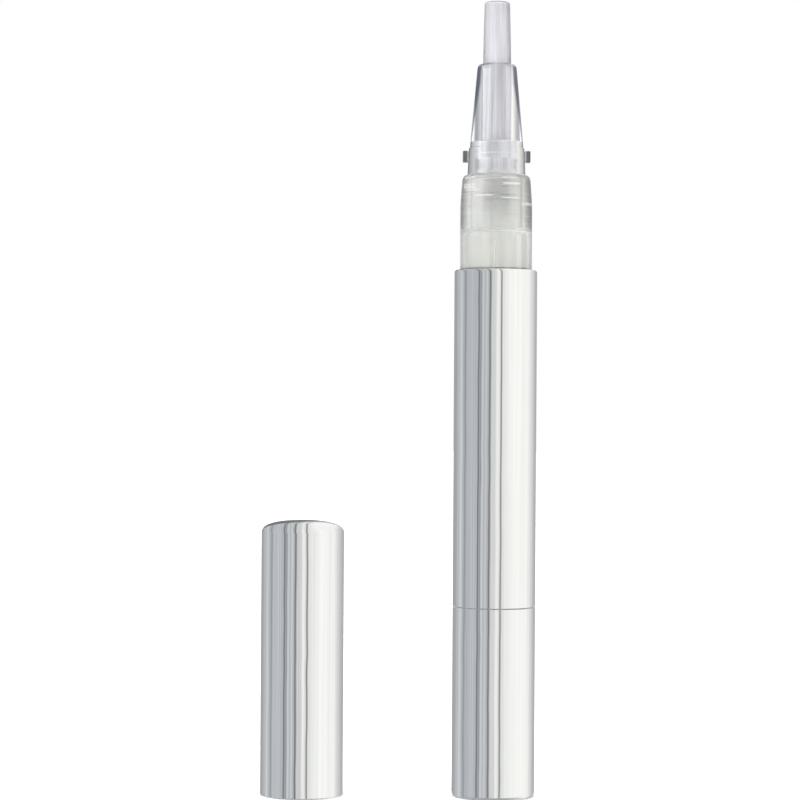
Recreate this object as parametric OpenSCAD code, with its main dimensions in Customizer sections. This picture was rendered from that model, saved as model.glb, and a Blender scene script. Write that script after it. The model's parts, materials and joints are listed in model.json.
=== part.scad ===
// Twist-up nail oil pen, shown uncapped, with its cap standing beside it.
// Millimetres. Z runs up the pen, and the origin is the centre of the knob's flat end face.
// A twist of the knob turns the screw rod in the guide nut. The rod climbs and pushes the
// piston up the tank, and the oil goes through the nozzle into the bristles.

/* [Skins] */
// Outside diameter of the knob, the front sleeve and the cap
body_d = 13.6; // [13.3:0.1:15]
// Wall of the drawn aluminium skins
skin = 0.3; // [0.25:0.05:0.4]
// Rounding of the knob's base edge
base_round = 0.7; // [0.5:0.05:0.9]
// Rounding of the sleeve's rolled rim
edge_r = 0.45; // [0.4:0.05:0.55]
// Length of the twist knob
knob_len = 31; // [30:0.5:36]
// Gap at the seam between the knob and the front sleeve
seam_gap = 0.2; // [0.1:0.05:0.4]
// Length of the front sleeve
sleeve_len = 55.2; // [52:0.2:64]

/* [Cap] */
// Height of the cap's crown
crown_h = 2.1; // [1.9:0.1:4]
// Shape of the crown: 2 is an ellipse, and a larger value is squarer
crown_power = 2.5; // [2:0.1:3]
// Height from the brush tip to the top of the cap when the cap is on
head_room = 0.9; // [0.9:0.1:2.5]
// Wall of the inner cap
liner_wall = 0.45; // [0.35:0.05:0.55]
// Ribs that centre the inner cap in its skin
liner_ribs = 6; // [4:1:8]
// Thickness of one of those ribs
liner_rib_t = 0.6; // [0.4:0.1:0.8]
// Distance from the pen's axis to the axis of the cap beside it
cap_offset = 31.5; // [20:0.5:60]

/* [Neck and nozzle] */
// Bare neck above the front sleeve
neck_len = 15.6; // [14.5:0.1:18]
// Wall of the tank and of its neck
tank_wall = 0.8; // [0.6:0.05:0.9]
// Draft of the neck's upper part, on the radius
neck_draft = 0.36; // [0.1:0.02:0.4]
// Rounding of the neck's top edge, as a share of its wall there
neck_round_share = 0.85; // [0.5:0.05:0.9]
// Grip ribs on the neck
neck_ribs = 3; // [2:1:6]
// Length of the nozzle's round foot
foot_len = 4.4; // [4.2:0.1:5]
// Diameter of the nozzle's foot, as a share of the pen's
foot_share = 0.7; // [0.68:0.005:0.72]
// Length of the nozzle's cone
cone_len = 13.8; // [11:0.1:16]
// Diameter at the bottom of the cone, as a share of the pen's
cone_share = 0.64; // [0.61:0.005:0.66]
// Diameter at the top of the cone, under its rounded rim, as a share of the pen's
tip_share = 0.48; // [0.46:0.005:0.52]
// Span over the nozzle's two lugs, as a share of the pen's diameter
lug_share = 0.82; // [0.77:0.005:0.84]
// Width and height of a lug
lug_size = 1.9; // [1.4:0.1:2.4]
// Length of the nozzle's plug inside the neck
plug_len = 8.8; // [8:0.2:10]
// Sealing rings round the plug
plug_rings = 6; // [3:1:8]

/* [Brush] */
// Diameter of the bristle bundle, as a share of the pen's
brush_share = 0.345; // [0.32:0.005:0.36]
// Length of bristle above the nozzle
brush_out = 10.4; // [8:0.1:13]
// Thickness of the fused root of the bundle
root_t = 2; // [1.5:0.1:2.5]
// Outside diameter of the feed tube
feed_d = 0.9; // [0.8:0.05:1.2]

/* [Screw drive] */
// Travel of the rod in one turn of the knob
lead = 3; // [2.4:0.1:4]
// Outside diameter of the rod's thread, as a share of the pen's
thread_share = 0.325; // [0.31:0.005:0.35]
// Depth of the thread, as a share of the thread's diameter
depth_share = 0.125; // [0.1:0.005:0.135]
// Distance across the rod's two flats, as a share of the thread's diameter
flats_share = 0.66; // [0.6:0.01:0.68]
// Length of the guide nut
nut_len = 6; // [5:0.5:7]
// Distance from the seam to the guide nut
nut_set = 10.8; // [10.4:0.2:13]
// Length of rod that stays keyed in the drive tube at full travel
keyed_len = 3; // [2.5:0.5:5]
// Length of the housing's tail inside the knob
tail_len = 9; // [8:0.2:10]
// Length of the piston
piston_len = 7; // [6:0.2:8]
// Teeth of the ratchet
teeth = 12; // [8:1:14]
// Height of a ratchet tooth
tooth_h = 0.6; // [0.4:0.05:0.8]
// Wire of the ratchet spring
wire_d = 0.5; // [0.4:0.05:0.6]
// Turns of the ratchet spring
coils = 6; // [5:1:8]

/* [Clearances] */
// Gap of a fixed fit, on the radius
fit_gap = 0.03; // [0.02:0.01:0.05]
// Gap of a running fit, on the radius
run_gap = 0.08; // [0.05:0.01:0.1]
// Gap between the piston's lips and the tank
lip_gap = 0.04; // [0.03:0.01:0.06]
// Gap between the inner cap and the neck
cap_gap = 0.12; // [0.1:0.01:0.15]

/* [Hidden] */
$fn = 64;

over = 1;                 // overrun of a cut past the face that it opens
bend_steps = 5;           // points along a small rounding
crown_steps = 14;         // points along the cap's crown
ridge_sides = 18;         // points of a thread in one turn
wire_sides = 6;           // sides of the spring's wire
wire_steps = 16;          // points of the spring in one turn
core_sides = 12;          // sides of the rod's core
rim_drop = 0.1;           // inner parts end this far inside a skin
rim_gap = 0.2;            // gap between the rolled rim and the neck

// Radii, from the outside in
body_r = body_d / 2;
shell_in = body_r - skin;
core_r = shell_in - fit_gap;                 // whatever is pressed into a skin
liner_in = core_r - liner_wall;
neck_r = liner_in - cap_gap;
bore_r = neck_r - tank_wall;
foot_r = body_r * foot_share;
cone_r = body_r * cone_share;
tip_r = body_r * tip_share;
lug_r = body_r * lug_share;
brush_r = body_r * brush_share;
feed_r = feed_d / 2;
thread_r = body_r * thread_share;
thread_depth = 2 * thread_r * depth_share;
half_flats = thread_r * flats_share;
root_r = thread_r - thread_depth;

// Knob core, and the drive tube that it holds by two flats
wall_shares = [0.11, 0.13, 0.12];            // walls of core and tail, of drive and housing, of hub
core_wall = body_r * wall_shares[0];
core_floor = 1.2;
core_ribs = 6;
core_rib_t = 0.7;
thread_gap = 0.1;
drive_wall = body_r * wall_shares[1];
drive_flat_share = 0.86;                     // half the distance across its flats, of its radius
hub_wall = body_r * wall_shares[2];
hub_drop_share = 0.28;                       // the hub ends this share of the tail's length below it
bead_h = 0.26;
bead_t = 0.9;
bead_share = 1.6;                            // the snap bead sits this many times its height up the tail
nut_bore = thread_r + thread_gap;
drive_r = nut_bore + drive_wall;
drive_flat = drive_r * drive_flat_share;
hub_r = drive_r + fit_gap + hub_wall;
core_z = skin + fit_gap;
floor_top = core_z + core_floor;
tail_z = knob_len - tail_len;
hub_top = tail_z - hub_drop_share * tail_len;
bead_z = tail_z + bead_share * bead_t;

// Housing
tail_wall = core_wall;
housing_wall = drive_wall;
step_t = 0.2;                                // ledge that the ratchet wheel sits on
nut_collar = 0.9;                            // rim of the housing beyond the nut
bearing_t = 1.9;
flange_drop = 2.7;                           // from the seam down to the drive tube's flange
flange_t = 1;
key_gap = 0.04;
lock_w = 1.4;                                // blocks that key the nut and the wheel
lock_h = 0.45;
tail_r = core_r - core_wall - run_gap;
tail_in = tail_r - tail_wall;
housing_in = core_r - housing_wall;
sleeve_z = knob_len + seam_gap;
flange_top = sleeve_z - flange_drop;
bearing_top = flange_top - flange_t - run_gap;
nut_z = sleeve_z + nut_set;
nut_top = nut_z + nut_len;
housing_top = nut_top + nut_collar;

// Ratchet: two rings with saw teeth and the spring that holds them together
wheel_t = 1.4;
click_t = 2.2;
key_share = 0.088;                           // height of the drive tube's keys
key_w = 1.1;
keys = 4;
tooth_rim = 0.1;
tooth_shares = [0.86, 0.16];                 // a tooth's width in its pitch, its steep side in its width
key_h = body_r * key_share;
wheel_top = nut_z - fit_gap;
wheel_z = wheel_top - wheel_t;
click_top = wheel_z - 2 * tooth_h - run_gap;
click_z = click_top - click_t;
click_r = housing_in - step_t - run_gap;
tooth_in = drive_r + key_h + run_gap;
tooth_out = click_r - tooth_rim;
spring_r = (drive_r + key_h + tail_in) / 2;

// Drive tube's front end
bearing_gap = 0.35;
drive_top = wheel_top - bearing_gap;

// Tank, neck and nozzle
ring_t = 1.6;                                // rings that locate the tank in the front sleeve
ring_shares = [0, 0.5];                      // places of the lower two, of the tank in the sleeve
seal_t = 0.7;
seal_rim = 0.1;
neck_rib_w = 1;
neck_rib_h = 0.05;
neck_rib_len = 5.8;
neck_rib_angle = -52.5;                      // of the first rib, from +X
draft_share = 0.36;                          // drafted part of the neck
plug_step = 0.48;                            // step under the nozzle's foot
ring_groove = 0.33;                          // depth of the grooves between the plug's rings
ring_end = 0.8;                              // plain end of the plug
ring_flat_share = 0.3;                       // a ring's slope and its flat, of the pitch
foot_draft = 0.2;
foot_step = 0.5;                             // height of the step between foot and cone
rim_round = 0.95;                            // height of the cone's rounded rim
rim_in = 0.4;
chamber_share = 0.5;                         // room in the foot for the bundle's root
bundle_gap = 0.05;
root_seat = 1.1;                             // the root's upper face, above the foot
lug_set = 2.1;                               // a lug's lower face, above the neck
clamp_len = 4;
clamp_flange = 0.8;
clamp_waist = 0.5;
feed_wall = 0.2;
feed_low = 8.5;                              // length of the feed tube under the root's upper face
chamber_r = body_r * chamber_share;
plug_r = foot_r - plug_step;
seal_r = foot_r - seal_rim;
sleeve_top = sleeve_z + sleeve_len;
neck_top = sleeve_top + neck_len;
foot_top = neck_top + foot_len;
root_top = foot_top + root_seat;
nozzle_top = foot_top + cone_len;
brush_tip = nozzle_top + brush_out;
plug_z = neck_top - plug_len;
tank_z = housing_top + fit_gap;

// Bristles
strand_share = 0.0475;                       // pitch of the strands, of the bundle's diameter
strand_r_share = 0.0205;                     // radius of a strand
strand_taper = 0.93;                         // the bundle's width at its tip, of that at its root
strand_sink = 0.3;                           // length of a strand inside the root
tip_shares = [0.72, 0.88];                   // where the shorter and the shortest strands begin
tip_drop = 0.25;
strand_pitch = 2 * brush_r * strand_share;
strand_r = 2 * brush_r * strand_r_share;

// Piston and the rod's snap head
piston_set = 0.5;                            // from the tank's end to the piston at rest
lip_h = 0.9;
waist = 0.3;
skirt_wall = 0.7;
socket_wall = 0.9;
socket_set = 0.9;                            // the socket's mouth, inside the piston's skirt
socket_lip = 1;
head_len = 2.4;
head_gap = 0.12;
shank_share = 0.6;                           // the shank's radius, of the head's
piston_z = tank_z + piston_set;
piston_top = piston_z + piston_len;
shank_r = root_r * shank_share;
shank_top = piston_z + socket_set + socket_lip + head_gap;

// Travel: whole turns, as far as both the rod and the tank allow
crest_shares = [0.44, 0.2];                  // the thread's width at its root and crest, of the lead
flank_gap = 0.16;
rod_rest_gap = 1;
end_gap = 0.15;
rod_room = drive_top - keyed_len - floor_top - rod_rest_gap;
tank_cone = bore_r - plug_r - fit_gap;       // rise of the tank's conical end, up to the plug
tank_room = plug_z - fit_gap - tank_cone + waist + lip_gap - end_gap - piston_top;
turns = floor(min(rod_room, tank_room) / lead);
travel = turns * lead;
rod_z = drive_top - keyed_len - travel;

// Cap
mouth_share = 0.9;                           // rounding of the cap's mouth, of the skin's wall
throat_gap = 0.1;
lug_clear = 0.6;                             // from the foot to the start of the throat
throat_rise = 2;
top_gap = 1.05;                              // room round the bristles
reach = brush_tip - sleeve_top;              // what the cap covers
cap_len = reach + head_room;
top_r = brush_r + top_gap;

function arc(c, r, from, to, n = bend_steps) =
    [for (i = [0:n]) let (a = from + (to - from) * i / n) c + r * [cos(a), sin(a)]];

// A quarter of a superellipse in the crown's power, and the angle that reaches a share of its radius
function crown(z, rx, rz, from, to, n = crown_steps) =
    [for (i = [0:n]) let (a = from + (to - from) * i / n)
        [rx * pow(cos(a), 2 / crown_power), z + rz * pow(sin(a), 2 / crown_power)]];

function crown_angle(share) = acos(pow(share, crown_power / 2));

// A turned piece from points that are [radius, height]
module turned(points) {
    rotate_extrude()
    polygon(points);
}

module tube(z, height, r_out, r_in) {
    translate([0, 0, z])
    difference() {
        cylinder(r = r_out, h = height);
        translate([0, 0, -over])
        cylinder(r = r_in, h = height + 2 * over);
    }
}

// A round bar or hole with two flats, at plus and minus half_flat in Y
module two_flat(z, height, r, half_flat, sides = $fn) {
    translate([0, 0, z])
    intersection() {
        cylinder(r = r, h = height, $fn = sides);
        translate([-r - over, -half_flat, -over])
        cube([2 * (r + over), 2 * half_flat, height + 2 * over]);
    }
}

// One triangle pair for each side of each step of a swept section of n points, and its two ends
function swept_faces(steps, n) = concat(
    [for (i = [0:steps - 1], j = [0:n - 1]) let (k = (j + 1) % n)
        each [[i * n + j, i * n + k, (i + 1) * n + k], [i * n + j, (i + 1) * n + k, (i + 1) * n + j]]],
    [[for (j = [n - 1:-1:0]) j]],
    [[for (j = [0:n - 1]) steps * n + j]]
);

// A helical ridge from z0 to z1. Its section is a trapezoid, w_in wide at r_in and w_out wide at
// r_out, and its middle lies at the height lead * angle / 360 + phase. half_flat trims it in Y.
module ridge(z0, z1, phase, r_in, r_out, w_in, w_out, half_flat) {
    steps = ceil((z1 - z0) / lead * ridge_sides);
    section = [[r_in, -w_in / 2], [r_out, -w_out / 2], [r_out, w_out / 2], [r_in, w_in / 2]];
    points = [
        for (i = [0:steps], p = section)
        let (
            z = z0 + (z1 - z0) * i / steps,
            a = 360 * (z - phase) / lead,
            r = min(p[0], half_flat / max(abs(sin(a)), half_flat / (2 * r_out)))
        )
        [r * cos(a), r * sin(a), z + p[1]]
    ];
    polyhedron(points = points, faces = swept_faces(steps, len(section)));
}

// Saw teeth on the upper face of a ring, from r_in to r_out
module crown_teeth(z, r_in, r_out) {
    tooth_w = 2 * PI * r_in / teeth * tooth_shares[0];
    steep = tooth_w * tooth_shares[1];
    for (i = [0:teeth - 1])
        rotate([0, 0, 360 * i / teeth])
        translate([0, 0, z])
        rotate([90, 0, 90])
        translate([0, 0, r_in])
        linear_extrude(height = r_out - r_in)
        polygon([
            [-tooth_w / 2, -tooth_h / 2], [tooth_w / 2, -tooth_h / 2], [tooth_w / 2, 0],
            [tooth_w / 2 - steep, tooth_h], [-tooth_w / 2, 0]
        ]);
}

// Aluminium cup over the twist knob
module knob_sleeve() {
    inner_r = base_round - skin;
    color([0.86, 0.86, 0.87])
    turned(concat(
        [[0, 0]],
        arc([body_r - base_round, base_round], base_round, -90, 0),
        [[body_r, knob_len], [shell_in, knob_len]],
        arc([shell_in - inner_r, skin + inner_r], inner_r, 0, -90),
        [[0, skin]]
    ));
}

// Plastic core of the knob: it runs on the housing's tail and holds the drive tube in its hub
module knob_core() {
    core_in = core_r - core_wall;
    core_top = knob_len - rim_drop;
    corner = base_round - skin;
    color([0.93, 0.93, 0.94])
    difference() {
        union() {
            turned([
                [0, core_z], [core_r - corner, core_z], [core_r, core_z + corner], [core_r, core_top],
                [core_in, core_top],
                [core_in, bead_z + bead_t], [core_in - bead_h, bead_z + bead_t * 3 / 4],
                [core_in - bead_h, bead_z + bead_t / 4], [core_in, bead_z],
                [core_in, floor_top], [hub_r, floor_top], [hub_r, hub_top], [0, hub_top]
            ]);
            for (i = [0:core_ribs - 1])
                rotate([0, 0, 360 * (i + 1 / 2) / core_ribs])
                translate([hub_r - fit_gap, -core_rib_t / 2, floor_top - fit_gap])
                cube([core_in - hub_r + 2 * fit_gap, core_rib_t, hub_top - floor_top - core_rib_t]);
        }
        two_flat(floor_top, hub_top, drive_r + fit_gap, drive_flat + fit_gap);
    }
}

// Tube that turns with the knob: keyed in the hub, and keyed to the rod by two flats at its front
module drive_tube() {
    drive_z = floor_top + fit_gap;
    color([0.35, 0.55, 0.75])
    difference() {
        union() {
            two_flat(drive_z, hub_top - drive_z, drive_r, drive_flat);
            turned([
                [0, hub_top - fit_gap], [drive_r, hub_top - fit_gap], [drive_r, flange_top - flange_t],
                [tail_in - run_gap, flange_top - flange_t], [tail_in - run_gap, flange_top],
                [drive_r, flange_top], [drive_r, drive_top], [0, drive_top]
            ]);
            for (i = [0:keys - 1])
                rotate([0, 0, 360 * i / keys])
                translate([0, -key_w / 2, flange_top - fit_gap])
                cube([drive_r + key_h, key_w, click_top - flange_top]);
        }
        translate([0, 0, drive_z - over])
        cylinder(r = nut_bore, h = drive_top - 2 * keyed_len - drive_z + over);
        two_flat(drive_z, drive_top, nut_bore, half_flats + run_gap);
    }
}

// Sliding half of the ratchet, keyed on the drive tube
module click_ring() {
    color([0.85, 0.55, 0.25])
    difference() {
        union() {
            tube(click_z, click_t, click_r, drive_r + run_gap);
            crown_teeth(click_top, tooth_in, tooth_out);
        }
        for (i = [0:keys - 1])
            rotate([0, 0, 360 * i / keys])
            translate([0, -key_w / 2 - run_gap, click_z - over])
            cube([drive_r + key_h + run_gap, key_w + 2 * run_gap, click_t + 2 * over]);
    }
}

// Steel spring that holds the ratchet's halves together: closed end turns, open middle turns
module ratchet_spring() {
    low = flange_top + wire_d / 2 + fit_gap;
    high = click_z - wire_d / 2 - fit_gap;
    closed = wire_d + run_gap;               // rise of an end turn
    steps = coils * wire_steps;
    open = (high - low - 2 * closed) / (coils - 2);
    function rise(t) = t < 1 ? t * closed : t > coils - 1 ? high - low - (coils - t) * closed
        : closed + (t - 1) * open;
    points = [
        for (i = [0:steps], j = [0:wire_sides - 1])
        let (
            t = i / wire_steps,
            a = 360 * t,
            b = 360 * j / wire_sides,
            r = spring_r + wire_d / 2 * cos(b)
        )
        [r * cos(a), r * sin(a), low + rise(t) + wire_d / 2 * sin(b)]
    ];
    color([0.6, 0.6, 0.63])
    polyhedron(points = points, faces = swept_faces(steps, wire_sides));
}

// Fixed half of the ratchet, keyed in the housing
module ratchet_wheel() {
    color([0.8, 0.45, 0.2])
    union() {
        tube(wheel_z, wheel_t, housing_in - fit_gap, drive_r + run_gap);
        translate([0, 0, wheel_z])
        rotate([180, 0, 0])
        crown_teeth(0, tooth_in, tooth_out);
        locks(wheel_z, wheel_t, lock_w / 2, lock_h);
    }
}

// Two blocks, at plus and minus X, that key a ring in the housing
module locks(z, height, half_w, depth) {
    for (side = [0, 180])
        rotate([0, 0, side])
        translate([housing_in - step_t - over / 2, -half_w, z])
        cube([step_t + over / 2 + depth, 2 * half_w, height]);
}

// Moulded housing: pressed into the front sleeve, with a tail that the knob turns on
module housing() {
    step_z = wheel_z - fit_gap;
    wide_z = sleeve_z + rim_drop;
    cone = tail_in - drive_r;
    groove_r = tail_r - bead_h;
    color([0.9, 0.9, 0.91])
    difference() {
        turned([
            [drive_r + run_gap, bearing_top - bearing_t], [tail_in, bearing_top - bearing_t - cone / 2],
            [tail_in, tail_z], [tail_r - edge_r / 2, tail_z], [tail_r, tail_z + edge_r / 2],
            [tail_r, bead_z - run_gap], [groove_r, bead_z - run_gap + bead_t / 4],
            [groove_r, bead_z + run_gap + bead_t * 3 / 4], [tail_r, bead_z + run_gap + bead_t],
            [tail_r, wide_z], [core_r, wide_z], [core_r, housing_top], [housing_in, housing_top],
            [housing_in, step_z], [housing_in - step_t, step_z],
            [housing_in - step_t, click_z - click_t], [tail_in, click_z - click_t - step_t],
            [tail_in, bearing_top], [drive_r + run_gap, bearing_top]
        ]);
        locks(step_z, housing_top - step_z + over, lock_w / 2 + key_gap, lock_h + key_gap);
    }
}

// Fixed nut, with one internal thread that lies in the rod's groove
module guide_nut() {
    nut_r = housing_in - fit_gap;
    mouth = thread_depth;
    color([0.55, 0.75, 0.55])
    union() {
        turned([
            [nut_bore + mouth, nut_z], [nut_r, nut_z], [nut_r, nut_top - mouth], [nut_r - mouth, nut_top],
            [nut_bore + mouth, nut_top], [nut_bore, nut_top - mouth], [nut_bore, nut_z + mouth]
        ]);
        ridge(
            nut_z + lead / 2, nut_top - lead / 2, rod_z + lead / 2,
            root_r + thread_gap, nut_bore + drive_wall / 2,
            lead * (1 - crest_shares[0]) - 2 * flank_gap, lead * (1 - crest_shares[1]) - 2 * flank_gap,
            body_r
        );
        locks(nut_z, nut_len - mouth, lock_w / 2, lock_h);
    }
}

// Rod: two flats, one thread, and a snap head that the piston clips over
module screw_rod() {
    thread_z = rod_z + lead / 2;
    thread_top = nut_top + end_gap;
    color([0.3, 0.45, 0.65])
    union() {
        two_flat(rod_z, thread_top + end_gap - rod_z, root_r, half_flats, core_sides);
        ridge(
            thread_z, thread_top - lead * crest_shares[0] / 2, rod_z,
            root_r / 2, thread_r, lead * crest_shares[0], lead * crest_shares[1],
            half_flats - fit_gap
        );
        translate([0, 0, thread_top])
        cylinder(r = shank_r, h = shank_top + head_len / 2 - thread_top, $fn = core_sides);
        translate([0, 0, shank_top])
        cylinder(r1 = root_r, r2 = shank_r, h = head_len, $fn = core_sides);
    }
}

// Piston with a lip at each end and the socket for the rod's head
module piston() {
    lip_r = bore_r - lip_gap;
    waist_r = lip_r - waist;
    mouth_z = piston_z + socket_set;
    socket_r = root_r + head_gap;
    socket_top = shank_top + head_len + head_gap;
    skirt_in = lip_r - skirt_wall;
    boss_r = socket_r + socket_wall;
    web_z = socket_top - socket_wall;
    color([0.95, 0.95, 0.9])
    turned([
        [shank_r + head_gap, mouth_z], [boss_r, mouth_z], [boss_r, web_z], [skirt_in - waist, web_z],
        [skirt_in - waist, piston_z + lip_h + waist], [skirt_in, piston_z], [lip_r - waist / 2, piston_z],
        [lip_r, piston_z + waist], [lip_r, piston_z + lip_h], [waist_r, piston_z + lip_h + waist],
        [waist_r, piston_top - lip_h - waist], [lip_r, piston_top - lip_h], [lip_r, piston_top - waist],
        [lip_r - waist, piston_top], [0, piston_top], [0, socket_top], [shank_r, socket_top],
        [socket_r, socket_top - head_len / 2],
        [socket_r, mouth_z + socket_lip], [shank_r + head_gap, mouth_z + socket_lip]
    ]);
}

// Milky tank: three rings locate it in the front sleeve, and its neck stands bare above
module tank() {
    shoulder_z = sleeve_top - skin - run_gap;
    draft_z = neck_top - draft_share * neck_len;
    top_r = neck_r - neck_draft;
    neck_round = (top_r - seal_r) * neck_round_share;
    floor_z = plug_z - fit_gap;
    plug_hole_r = plug_r + fit_gap;
    color([0.85, 0.87, 0.86])
    union() {
        difference() {
            union() {
                turned(concat(
                    [[0, tank_z], [neck_r, tank_z], [neck_r, draft_z]],
                    arc([top_r - neck_round, neck_top - neck_round], neck_round, 0, 90),
                    [[0, neck_top]]
                ));
                for (share = ring_shares)
                    translate([0, 0, tank_z + share * (shoulder_z - ring_t - tank_z)])
                    cylinder(r = core_r, h = ring_t);
                translate([0, 0, shoulder_z - ring_t])
                cylinder(r = core_r, h = ring_t);
            }
            turned([
                [0, tank_z - over], [bore_r, tank_z - over],
                [bore_r, floor_z - tank_cone], [plug_hole_r, floor_z],
                [plug_hole_r, neck_top - seal_t], [seal_r, neck_top - seal_t],
                [seal_r, neck_top + over], [0, neck_top + over]
            ]);
        }
        for (i = [0:neck_ribs - 1])
            rotate([0, 0, neck_rib_angle + 360 * i / neck_ribs])
            neck_rib();
    }
}

// A shallow rib with a round top, from the sleeve's rim up the neck
module neck_rib() {
    depth = tank_wall / 2;
    intersection() {
        translate([neck_r - depth, 0, sleeve_top - skin])
        rotate([90, 0, 90])
        linear_extrude(height = tank_wall)
        union() {
            translate([-neck_rib_w / 2, 0])
            square([neck_rib_w, neck_rib_len - neck_rib_w / 2]);
            translate([0, neck_rib_len - neck_rib_w / 2])
            circle(r = neck_rib_w / 2);
        }
        tube(sleeve_top - neck_rib_len, 2 * neck_rib_len, neck_r + neck_rib_h, neck_r - depth);
    }
}

// Aluminium tube over the tank, with its front edge rolled in over the tank's shoulder
module front_sleeve() {
    inner_r = edge_r - skin;
    lip_in = neck_r + rim_gap;
    color([0.86, 0.86, 0.87])
    turned(concat(
        [[shell_in, sleeve_z], [body_r, sleeve_z]],
        arc([body_r - edge_r, sleeve_top - edge_r], edge_r, 0, 90),
        [[lip_in, sleeve_top], [lip_in, sleeve_top - skin]],
        arc([shell_in - inner_r, sleeve_top - skin - inner_r], inner_r, 90, 0)
    ));
}

// Soft ring between the nozzle's foot and the neck
module nozzle_seal() {
    color([0.75, 0.76, 0.7])
    tube(
        neck_top - seal_t + fit_gap, seal_t - 2 * fit_gap,
        seal_r - fit_gap, plug_r + fit_gap
    );
}

// Clear nozzle: plug with sealing rings, foot with two lugs, and a cone round the bristles
module nozzle() {
    bundle_r = brush_r + bundle_gap;
    groove_r = plug_r - ring_groove;
    ring_pitch = (plug_len - seal_t - ring_end) / plug_rings;
    ring_flat = ring_pitch * ring_flat_share;
    rings = [
        for (i = [0:plug_rings - 1])
        let (z = plug_z + ring_end + i * ring_pitch)
        each [
            [groove_r, z], [plug_r, z + ring_flat],
            [plug_r, z + 2 * ring_flat], [groove_r, z + 2 * ring_flat]
        ]
    ];
    color([0.8, 0.85, 0.9])
    union() {
        turned(concat(
            [[chamber_r, plug_z], [groove_r, plug_z]],
            rings,
            [
                [groove_r, neck_top - seal_t + fit_gap], [plug_r, neck_top - seal_t + fit_gap],
                [plug_r, neck_top + fit_gap], [foot_r, neck_top + fit_gap],
                [foot_r - foot_draft, foot_top], [cone_r, foot_top + foot_step / 4],
                [cone_r, foot_top + foot_step]
            ],
            [
                for (p = arc([0, 0], 1, 0, 90))
                [tip_r - rim_in * (1 - p[0]), nozzle_top - rim_round * (1 - p[1])]
            ],
            [
                [bundle_r + rim_in / 2, nozzle_top], [bundle_r, nozzle_top - rim_in],
                [bundle_r, root_top], [chamber_r, root_top]
            ]
        ));
        for (side = [0, 180])
            rotate([0, 0, side])
            translate([foot_r - 2 * foot_draft, -lug_size / 2, neck_top + lug_set])
            cube([lug_r - foot_r + 2 * foot_draft, lug_size, lug_size]);
    }
}

// Plug that locks the bundle's root in the nozzle and holds the feed tube
module brush_clamp() {
    top = root_top - root_t - 2 * fit_gap;
    low = top - clamp_len;
    r = chamber_r - fit_gap;
    color([0.9, 0.9, 0.88])
    turned([
        [feed_r + fit_gap, low], [r, low], [r, low + clamp_flange],
        [r - clamp_waist, low + 2 * clamp_flange], [r - clamp_waist, top - clamp_flange],
        [r, top - clamp_flange], [r, top], [feed_r + fit_gap, top]
    ]);
}

// Thin tube that takes the oil through the clamp into the middle of the bristles
module feed_tube() {
    color([0.7, 0.72, 0.75])
    tube(root_top - feed_low, feed_low, feed_r, feed_r - feed_wall);
}

// Bristles: strands on a hexagonal grid, drawn in towards the tip, fused to their root
module brush() {
    seat = root_top - fit_gap;
    strand_len = brush_tip - seat;
    color([0.96, 0.96, 0.97])
    union() {
        tube(seat - root_t, root_t, chamber_r - fit_gap, feed_r + fit_gap);
        strands(seat, strand_len, feed_r + strand_r, tip_shares[0] * brush_r);
        strands(seat, strand_len - tip_drop, tip_shares[0] * brush_r, tip_shares[1] * brush_r);
        strands(seat, strand_len - 2 * tip_drop, tip_shares[1] * brush_r, brush_r - strand_r);
    }
}

// The strands whose distance from the axis is from r_in to r_out
module strands(z, length, r_in, r_out) {
    full = brush_tip - z + strand_sink;
    part = length + strand_sink;
    rows = ceil(brush_r / strand_pitch) + 1;
    translate([0, 0, z - strand_sink])
    linear_extrude(height = part, scale = 1 - (1 - strand_taper) * part / full)
    for (i = [-rows:rows], j = [-rows:rows])
        let (
            p = strand_pitch * [i + j / 2, j * sqrt(3) / 2],
            d = norm(p)
        )
        if (d >= r_in && d < r_out)
            translate(p)
            circle(r = strand_r, $fn = 3);
}

// Aluminium cup of the cap, standing on its mouth beside the pen
module cap_shell() {
    crown_z = cap_len - crown_h;
    rim_r = skin * mouth_share;
    color([0.86, 0.86, 0.87])
    translate([-cap_offset, 0, 0])
    turned(concat(
        [[shell_in, rim_r]],
        arc([body_r - rim_r, rim_r], rim_r, -90, 0),
        crown(crown_z, body_r, crown_h, 0, 90),
        crown(crown_z, shell_in, crown_h - skin, 90, 0)
    ));
}

// Inner cap: wide over the neck, with a seal throat round the cone and a narrow top round the brush
module cap_liner() {
    crown_z = cap_len - crown_h;
    wide_top = neck_len + foot_len + lug_clear;
    throat_z = wide_top + throat_rise;
    cone_slope = (cone_r - tip_r) / (cone_len - foot_step - rim_round);
    throat_r = cone_r - cone_slope * (lug_clear + throat_rise - foot_step) + throat_gap;
    crown_rise = crown_h - skin - fit_gap;
    side = crown_angle((top_r + liner_wall) / core_r);
    in_side = crown_angle(top_r / core_r);
    color([0.94, 0.94, 0.95])
    translate([-cap_offset, 0, 0])
    union() {
        turned(concat(
            [
                [liner_in + liner_wall / 2, rim_drop], [core_r, rim_drop + liner_wall],
                [core_r, wide_top], [throat_r + liner_wall, throat_z]
            ],
            crown(crown_z, core_r, crown_rise, side, 90, bend_steps),
            crown(crown_z - liner_wall, core_r, crown_rise, 90, in_side, bend_steps),
            [[throat_r, throat_z], [liner_in, wide_top], [liner_in, rim_drop + liner_wall]]
        ));
        for (i = [0:liner_ribs - 1])
            rotate([0, 0, 360 * i / liner_ribs])
            translate([0, liner_rib_t / 2, 0])
            rotate([90, 0, 0])
            linear_extrude(height = liner_rib_t)
            polygon([
                [throat_r + liner_wall / 2, throat_z], [core_r - fit_gap, wide_top + liner_wall],
                [core_r - fit_gap, crown_z - liner_wall], [core_r - liner_wall, crown_z],
                [top_r + liner_wall / 2, crown_z]
            ]);
    }
}

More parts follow.
